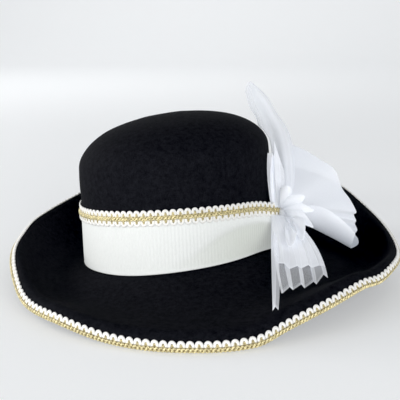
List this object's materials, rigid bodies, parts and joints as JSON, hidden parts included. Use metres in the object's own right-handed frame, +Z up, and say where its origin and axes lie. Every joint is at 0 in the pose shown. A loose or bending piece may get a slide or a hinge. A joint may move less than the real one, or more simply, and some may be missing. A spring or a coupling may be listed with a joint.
{
  "type": "women's wide-brimmed felt church hat",
  "caption": "Wide-brimmed felt dress hat with a domed crown, ribbed ribbon band, looped braid round band and brim edge, and a pleated organza bow at the side.",
  "frame": {"origin": "centre of the bounding box at the level of the table the hat stands on", "axes": "+Z up from the table, -Y towards the front of the hat, +X towards the wearer's left"},
  "size_m": [0.3586, 0.404, 0.1676],
  "materials": {
    "felt": "matte black wool felt",
    "ribbon": "ribbed ivory grosgrain",
    "white_braid": "white looped gimp cord",
    "gold_braid": "metallic gold thread",
    "organza": "sheer white organza"
  },
  "bodies": {
    "root": {"crown": "felt", "brim": "felt", "ribbon_band": "ribbon", "band_braid": "white_braid", "band_braid_gold": "gold_braid", "brim_braid": "white_braid", "brim_braid_gold": "gold_braid", "bow_knot": "organza", "bow_plume": "organza", "bow_flap": "organza", "bow_side_loop": "organza", "bow_rosette": "organza", "bow_tail_long": "organza", "bow_tail_short": "organza", "bow_tail_strip": "organza"}
  },
  "joints": []
}
